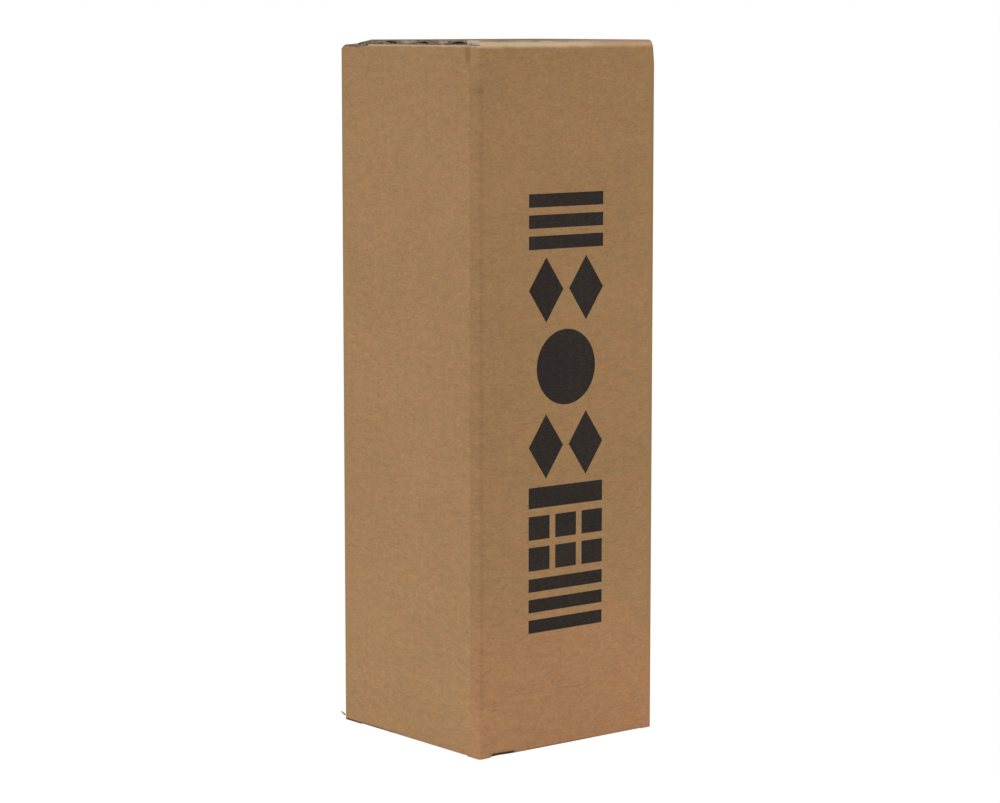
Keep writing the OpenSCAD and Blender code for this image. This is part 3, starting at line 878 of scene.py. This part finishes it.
def object_place(tree):
    """Object coordinates, whole and as x, y and z."""
    place = add(tree, "ShaderNodeTexCoord").outputs["Object"]
    parts = add(tree, "ShaderNodeSeparateXYZ", {"Vector": place}).outputs
    return place, parts["X"], parts["Y"], parts["Z"]


COLOUR_IN = ("Colour", "colour", (0.4, 0.25, 0.12, 1))
COLOUR_OUT = ("Colour", "colour")


def make_paper_fibres():
    """Mottled fibres of brown paper, laid across the flutes of the board that it covers."""
    tree, given, out = new_group(
        "paper_fibres",
        [("Paper", "colour", (0.4, 0.25, 0.12, 1)), ("Mottling", "value", 1.0), ("Flutes", "value", 1.0)],
        [COLOUR_OUT, ("Relief", "value")])
    x, y, z = object_place(tree)[1:]
    across = add(tree, "ShaderNodeAttribute", attribute_name="across_flutes").outputs["Fac"]
    side = add(tree, "ShaderNodeAttribute", attribute_name="side_panel").outputs["Fac"]
    along = add(tree, "ShaderNodeMix", {0: side, 2: y, 3: x}, data_type="FLOAT").outputs[0]

    def drawn_out(share):
        return joined(tree, times(tree, across, share), along, z)

    lie = drawn_out(0.45)
    fine = off_middle(tree, lie, 900, 4, 0.65)
    blotch = off_middle(tree, lie, 330)
    cloud = off_middle(tree, lie, 26)
    streak = noise(tree, drawn_out(0.14), 1100, 2, 0.6)
    dark_fibre = ramp(tree, streak, 0.6, 0.72)
    pale_fibre = ramp(tree, streak, 0.4, 0.29)
    cells = add(tree, "ShaderNodeTexVoronoi", {"Vector": lie, "Scale": 150}).outputs
    lot = add(tree, "ShaderNodeSeparateColor", {"Color": cells["Color"]}).outputs[0]
    chosen = calc(tree, "GREATER_THAN", lot, 0.82)
    speck = times(tree, ramp(tree, cells["Distance"], 0.07, 0.03), chosen)
    wave = calc(tree, "SINE", times(tree, across, 2 * math.pi / FLUTE))

    tone = 1.0
    tones = ((fine, 0.45), (blotch, 0.2), (cloud, 0.11), (dark_fibre, -0.06), (pale_fibre, 0.05))
    for part, weight in tones:
        tone = plus(tree, tone, part, times(tree, given["Mottling"], weight))
    # Painted light and shade of the flute ridges: a faint tone wave, beside the same wave in the relief.
    tone = plus(tree, tone, wave, times(tree, given["Flutes"], 0.006))
    tone = plus(tree, tone, speck, -0.35)
    warmth = times(tree, off_middle(tree, lie, 210), given["Mottling"])
    red = plus(tree, tone, warmth, 0.10)
    blue = plus(tree, tone, warmth, -0.12)
    grey = add(tree, "ShaderNodeCombineColor", {0: red, 1: tone, 2: blue}).outputs[0]
    tree.links.new(mix_colour(tree, 1.0, given["Paper"], grey, "MULTIPLY"), out["Colour"])

    relief = 0.0
    heights = ((fine, 0.05), (blotch, 0.07), (cloud, 0.5), (dark_fibre, -0.012), (pale_fibre, 0.012))
    for part, weight in heights:
        relief = plus(tree, relief, part, weight)
    relief = plus(tree, relief, wave, times(tree, given["Flutes"], 0.012))
    tree.links.new(relief, out["Relief"])
    return tree


def make_fold_highlights_and_grey_line():
    """Painted highlights along the two kinds of top fold, where their rounded faces turn up to the light, and
    a greyer line along the top of the front one.
    """
    tree, given, out = new_group("fold_highlights_and_grey_line", [COLOUR_IN], [COLOUR_OUT])
    place, x, y, z = object_place(tree)
    height = plus(tree, z, off_middle(tree, place, 160, 3, 0.6), 1.6 * MM)
    at_front = ramp(tree, y, -56.6 * MM, -57.4 * MM)
    # Painted highlight: the front fold's rounded face, turning up to the light, is painted cream.
    fold_highlight = times(tree, ramp(tree, height, 369.3 * MM, 372.0 * MM), at_front)
    kept = ramp(tree, x, 8 * MM, 26 * MM)
    cream = mix_colour(tree, kept, (0.80, 0.585, 0.385, 1), (0.66, 0.43, 0.25, 1))
    colour = mix_colour(tree, fold_highlight, given["Colour"], cream)
    # A greyer line, in patches, along the very top of the front fold.
    grey_top_line = times(tree, ramp(tree, height, 372.8 * MM, 373.5 * MM), at_front)
    grey_top_line = times(tree, grey_top_line, plus(tree, 1.0, kept, -0.85))
    patches = ramp(tree, noise(tree, joined(tree, x), 55), 0.42, 0.6)
    grey = mix_colour(tree, patches, (0.56, 0.46, 0.35, 1), (0.40, 0.33, 0.25, 1))
    colour = mix_colour(tree, grey_top_line, colour, grey)
    from_middle = calc(tree, "ABSOLUTE", x)
    # Painted highlight on the top fold of each side panel, just under the lid.
    crest_highlight = times(tree, ramp(tree, height, 370.0 * MM, 371.3 * MM),
                   ramp(tree, from_middle, 55.6 * MM, 56.6 * MM),
                   ramp(tree, y, -57.2 * MM, -56 * MM))
    colour = mix_colour(tree, crest_highlight, colour, (0.58, 0.43, 0.29, 1))
    tree.links.new(colour, out["Colour"])
    return tree


def make_stain_and_painted_light():
    """Painted light that makes the paper paler low on the carton, a warmer tint on the front low down, and
    painted shade in the dip beside the near upright fold.
    """
    tree, given, out = new_group("stain_and_painted_light", [COLOUR_IN], [COLOUR_OUT])
    place, x, y, z = object_place(tree)

    def tint(share, colour, factors):
        tinted = mix_colour(tree, 1.0, colour, (*factors, 1), "MULTIPLY")
        return mix_colour(tree, share, colour, tinted)

    # Painted light: paler towards the bottom, as if lit by light thrown up from the floor.
    colour = tint(ramp(tree, z, 150 * MM, 20 * MM), given["Colour"], (1.10, 1.105, 1.12))
    height = plus(tree, z, off_middle(tree, place, 30), 30 * MM)
    low_front = times(tree, ramp(tree, height, 84 * MM, 50 * MM),
                       ramp(tree, y, -46 * MM, -58 * MM))
    colour = tint(low_front, colour, (1.10, 0.985, 1.04))
    # Painted shade in the shallow dip beside the near upright fold.
    beside_fold = times(tree, ramp(tree, y, -51.2 * MM, -52.6 * MM),
                         ramp(tree, x, -56 * MM, -59 * MM),
                         ramp(tree, z, 6 * MM, 40 * MM),
                         ramp(tree, z, 368 * MM, 345 * MM))
    colour = tint(beside_fold, colour, (0.90, 0.88, 0.85))
    # Painted shade in the same dip near the top, as a soft darker spot.
    flat_z = times(tree, calc(tree, "SUBTRACT", z, 367 * MM), 0.45)
    squashed = joined(tree, x, y, flat_z)
    dip_shade = spot_at(tree, squashed, (-60 * MM, -50.6 * MM, 0), 3.4 * MM, 0.8 * MM)
    colour = tint(dip_shade, colour, (0.80, 0.74, 0.68))
    tree.links.new(colour, out["Colour"])
    return tree


def make_drawn_line():
    """A thin line that runs along one way, from one end to the other, and rises with a slope."""
    tree, given, out = new_group(
        "drawn_line",
        [("Along", "value", 0.0), ("Up", "value", 0.0), ("From", "value", 0.0), ("To", "value", 0.01),
         ("Height", "value", 0.03), ("Slope", "value", 0.0), ("Half width", "value", 0.0005)],
        [("Line", "value"), ("Rim", "value")])
    shift = times(tree, off_middle(tree, object_place(tree)[0], 90), given["Half width"])
    wander = times(tree, shift, 1.2)
    gone = calc(tree, "SUBTRACT", given["Along"], given["From"])
    middle = calc(tree, "ADD", given["Height"], times(tree, given["Slope"], gone))
    away = calc(tree, "SUBTRACT", calc(tree, "ADD", given["Up"], wander), middle)
    left = calc(tree, "SUBTRACT", given["To"], given["Along"])
    inside = times(tree, ramp(tree, gone, 0.0, 3 * MM), ramp(tree, left, 0.0, 3 * MM))
    off = calc(tree, "DIVIDE", calc(tree, "ABSOLUTE", away), given["Half width"])
    line = ramp(tree, off, 1.0, 0.25)
    rim_off = calc(tree, "DIVIDE", calc(tree, "SUBTRACT", away, given["Half width"]), given["Half width"])
    rim = ramp(tree, calc(tree, "ABSOLUTE", calc(tree, "SUBTRACT", rim_off, 0.5)), 1.3, 0.3)
    tree.links.new(times(tree, line, inside), out["Line"])
    tree.links.new(times(tree, rim, inside), out["Rim"])
    return tree


def new_material(name, roughness, specular=0.2):
    material = bpy.data.materials.new(name)
    material.use_nodes = True
    tree = material.node_tree
    shader = tree.nodes["Principled BSDF"]
    shader.inputs["Roughness"].default_value = roughness
    shader.inputs["Specular IOR Level"].default_value = specular
    return material, tree, shader


def set_relief(tree, shader, relief, strength=1.0):
    """Turns a height in millimetres into the surface's own relief."""
    bump = add(tree, "ShaderNodeBump", {"Height": relief, "Distance": MM, "Strength": strength})
    tree.links.new(bump.outputs["Normal"], shader.inputs["Normal"])


def make_kraft_board(name, colour, with_marks):
    """Brown liner paper over the flutes, with painted highlights on its folds."""
    material, tree, shader = new_material(name, 0.82)
    paper = use_group(tree, paper_fibres, Paper=colour, Mottling=1.6)
    colour = use_group(tree, fold_highlights_and_grey_line, Colour=paper["Colour"])["Colour"]
    relief = paper["Relief"]
    if with_marks:
        place, x, y, z = object_place(tree)
        colour = use_group(tree, stain_and_painted_light, Colour=colour)["Colour"]
        on_front = ramp(tree, y, -57 * MM, -59 * MM)
        creases = ((-37, -14, 32.0, -0.075, 0.05), (-10, 12, 31.1, -0.045, 0.09))
        for start, end, height, slope, depth in creases:
            crease = use_group(tree, drawn_line, Along=x, Up=z, From=start * MM, To=end * MM,
                               Height=height * MM, Slope=slope, Half_width=0.5 * MM)
            share = times(tree, on_front, depth)
            line = times(tree, crease["Line"], share)
            rim = times(tree, crease["Rim"], share)
            # Painted shade inside each crease, and a painted highlight along its upper rim.
            colour = mix_colour(tree, times(tree, line, 1.8), colour, (0.12, 0.07, 0.035, 1))
            colour = mix_colour(tree, times(tree, rim, 0.7), colour, (0.8, 0.62, 0.42, 1))
            relief = calc(tree, "SUBTRACT", relief, line)
        at_front = ramp(tree, y, -55 * MM, -57 * MM)
        at_left = ramp(tree, x, -55 * MM, -57 * MM)
        # Painted shadow: dark lines along the lower edges of the front and left panels, under the lifted fold
        # and where they meet the floor.
        shades = ((x, at_front, -53.5, -35, 0.85, 1.5, 1), (x, at_front, -42, 18, 0.2, 0.8, 0.6),
                  (y, at_left, 14, 63, 0.3, 0.85, 0.85))
        for along, face, start, end, height, half, depth in shades:
            shade = use_group(tree, drawn_line, Along=along, Up=z, From=start * MM, To=end * MM,
                              Height=height * MM, Half_width=half * MM)
            dark = times(tree, shade["Line"], face, depth)
            colour = mix_colour(tree, dark, colour, (0.03, 0.018, 0.01, 1))
        spot = spot_at(tree, place, (-60 * MM, -41.8 * MM, 357.8 * MM), 0.75 * MM, 0.35 * MM)
        colour = mix_colour(tree, times(tree, spot, 0.6), colour, (0.08, 0.05, 0.03, 1))
    tree.links.new(colour, shader.inputs["Base Color"])
    set_relief(tree, shader, relief)
    return material


def make_raw_edge(name, pale, dark, with_side_waves=False):
    """The cut edge of the board: torn paper ends, pale and dark."""
    material, tree, shader = new_material(name, 0.95, 0.1)
    place = object_place(tree)[0]
    torn = noise(tree, place, 1400, 3, 0.7)
    patch = noise(tree, place, 240)
    share = ramp(tree, plus(tree, times(tree, torn, 0.6), patch, 0.4), 0.4, 0.62)
    colour = mix_colour(tree, share, (*dark, 1), (*pale, 1))
    if with_side_waves:
        colour = draw_lid_hollow_shadows(tree, colour)
        colour = draw_crushed_end(tree, colour)
    tree.links.new(colour, shader.inputs["Base Color"])
    set_relief(tree, shader, plus(tree, times(tree, torn, 0.25), patch, 0.3))
    return material


def draw_lid_hollow_shadows(tree, colour):
    """Painted shadow in three flute hollows along the lid's side edge, with pale rims: the liners' paler cut
    edge plus a painted highlight.
    """
    y, z = object_place(tree)[2:]
    hollow_shadows = ((24, 10.5, 0.85), (-3.5, -16, 1), (-30, -50.5, 0.95))
    towards_front = times(tree, y, -1.0)
    for start, end, half in hollow_shadows:
        hollow_shadow = use_group(tree, drawn_line, Along=towards_front, Up=z, From=-start * MM, To=-end * MM,
                         Height=373.1 * MM, Slope=-0.035, Half_width=half * MM)
        # Painted shadow fills each hollow; its rim takes the liners' pale cut edge with a painted highlight.
        colour = mix_colour(tree, hollow_shadow["Line"], colour, (0.012, 0.007, 0.004, 1))
        colour = mix_colour(tree, times(tree, hollow_shadow["Rim"], 0.8), colour, (0.66, 0.54, 0.42, 1))
    return colour


def draw_crushed_end(tree, colour):
    """The pale, spotted end of the lid's side edge, where the fold has crushed the board."""
    place, _, y, z = object_place(tree)
    crushed = ramp(tree, y, -46.5 * MM, -49.5 * MM)
    spots = ramp(tree, noise(tree, place, 620, 2, 0.6), 0.5, 0.6)
    line_z = plus(tree, 372.6 * MM, calc(tree, "ADD", y, 49.3 * MM), 0.21)
    from_line = calc(tree, "ABSOLUTE", calc(tree, "SUBTRACT", z, line_z))
    spotted = times(tree, spots, ramp(tree, from_line, 0.9 * MM, 0.3 * MM), 0.75)
    end = mix_colour(tree, spotted, (0.62, 0.50, 0.38, 1), (0.20, 0.13, 0.095, 1))
    return mix_colour(tree, crushed, colour, end)


def make_print_ink():
    """Black-brown ink that has sunk into the paper, thinner along the valleys between flutes."""
    material, tree, shader = new_material("print_ink", 0.7)
    place, x, y, z = object_place(tree)
    stretched = joined(tree, times(tree, x, 0.3), y, z)
    grain = noise(tree, place, 1100, 3, 0.6)
    thin = times(tree, grain, 0.5)
    wave = calc(tree, "SINE", times(tree, x, 2 * math.pi / FLUTE))
    for part, weight in ((noise(tree, stretched, 900), 0.3), (noise(tree, place, 40), 0.2), (wave, 0.012)):
        thin = plus(tree, thin, part, weight)
    thinned = ramp(tree, thin, 0.42, 0.62)
    colour = mix_colour(tree, thinned, (0.010, 0.0062, 0.0042, 1), (0.027, 0.018, 0.0135, 1))
    gaps = ramp(tree, grain, 0.69, 0.76)
    colour = mix_colour(tree, gaps, colour, (0.13, 0.085, 0.05, 1))
    tree.links.new(colour, shader.inputs["Base Color"])
    set_relief(tree, shader, times(tree, grain, 0.05))
    return material


# Stage, light and camera

def seen_directly(tree):
    """1 for what the camera sees, also by way of a mirror or through glass, and 0 for other light."""
    seen = add(tree, "ShaderNodeLightPath").outputs
    mirrored = calc(tree, "MAXIMUM", seen["Is Glossy Ray"], seen["Is Transmission Ray"])
    return calc(tree, "MAXIMUM", seen["Is Camera Ray"], mirrored)


def lay_floor():
    """A pale floor that the camera sees white, and sees through from below."""
    bpy.ops.object.select_all(action="DESELECT")
    bpy.ops.mesh.primitive_plane_add(size=30, location=(0, 0, -0.2 * MM))
    floor = bpy.context.object
    floor.name = "floor"
    material, tree, shader = new_material("pale_floor", 0.9, 0.1)
    shader.inputs["Base Color"].default_value = (0.86, 0.86, 0.86, 1)
    direct = times(tree, seen_directly(tree), 0.99)
    white = add(tree, "ShaderNodeEmission", {"Color": (1, 1, 1, 1), "Strength": 1.02}).outputs[0]
    pale = add(tree, "ShaderNodeMixShader", {0: direct, 1: shader.outputs["BSDF"], 2: white})
    clear = add(tree, "ShaderNodeBsdfTransparent")
    under = add(tree, "ShaderNodeNewGeometry").outputs["Backfacing"]
    both = add(tree, "ShaderNodeMixShader", {0: under, 1: pale.outputs[0], 2: clear.outputs[0]})
    tree.links.new(both.outputs[0], tree.nodes["Material Output"].inputs["Surface"])
    finish_with(floor, material)


def light_studio():
    """Even light from all round, with a large soft lamp towards each visible face."""
    world = bpy.data.worlds.new("studio")
    bpy.context.scene.world = world
    world.use_nodes = True
    tree = world.node_tree
    level = add(tree, "ShaderNodeMapRange", {"Value": seen_directly(tree), "To Min": 0.44, "To Max": 1.0})
    tree.links.new(level.outputs["Result"], tree.nodes["Background"].inputs["Strength"])
    tree.nodes["Background"].inputs["Color"].default_value = (1, 1, 1, 1)
    cool = (1, 0.99, 0.97)
    warm = (1, 0.945, 0.83)
    lamps = (
        ("key", (-2.1, -0.3, 0.25), 1.0, 8.5, cool),
        ("low_key", (-0.68, 0.04, 0.05), 0.35, 1.6, cool),
        ("fill", (0.6, -2.1, 0.25), 1.0, 8.5, warm),
        ("low_fill", (0.2, -0.68, 0.05), 0.35, 1.1, warm),
    )
    for name, place, size, power, colour in lamps:
        lamp = bpy.data.lights.new(name, "AREA")
        lamp.size = size
        lamp.energy = power
        lamp.color = colour
        stand = bpy.data.objects.new(name, lamp)
        bpy.context.scene.collection.objects.link(stand)
        stand.location = place
        aim = Vector((0, 0, 0.19)) - Vector(place)
        stand.rotation_euler = aim.to_track_quat("-Z", "Y").to_euler()


def set_camera():
    """Looks at the corner between the plain left panel and the printed front, from a little above."""
    lens = bpy.data.cameras.new("camera")
    lens.lens = 107.6
    lens.sensor_width = 36
    stand = bpy.data.objects.new("camera", lens)
    bpy.context.scene.collection.objects.link(stand)
    stand.location = (-1.0110, -1.2563, 0.3841)
    aim = Vector((0.6227, 0.7722, -0.1265))
    stand.rotation_euler = aim.to_track_quat("-Z", "Y").to_euler()
    bpy.context.scene.camera = stand


paper_fibres = make_paper_fibres()
fold_highlights_and_grey_line = make_fold_highlights_and_grey_line()
stain_and_painted_light = make_stain_and_painted_light()
drawn_line = make_drawn_line()
kraft_board = make_kraft_board("kraft_board", (0.395, 0.232, 0.108, 1), True)
kraft_lid = make_kraft_board("kraft_lid", (0.395, 0.232, 0.108, 1), False)
raw_edge = make_raw_edge("raw_board_edge", (0.64, 0.50, 0.36), (0.25, 0.17, 0.115))
lid_edge = make_raw_edge("lid_board_edge", (0.64, 0.51, 0.39), (0.28, 0.20, 0.145), True)
fluting = make_raw_edge("fluting_paper", (0.56, 0.44, 0.32), (0.24, 0.17, 0.12))
print_ink = make_print_ink()

carton = make_carton_board()
lid = make_lid_board()
lid_fold = make_lid_fold()
burr = make_burr()
for piece in (carton, lid, lid_fold, burr):
    select_only(piece)
    bpy.ops.object.shade_smooth_by_angle(angle=math.radians(30))
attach(carton, "carton")
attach(burr, "carton")
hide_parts("carton")
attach(lid, "lid")
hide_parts("lid")
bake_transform(lid_fold)

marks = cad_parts["printed_marks"]
marks.data.materials.clear()
marks.data.materials.append(print_ink)

lay_floor()
light_studio()
set_camera()
bpy.context.scene.view_settings.view_transform = "Standard"

bpy.context.view_layer.update()
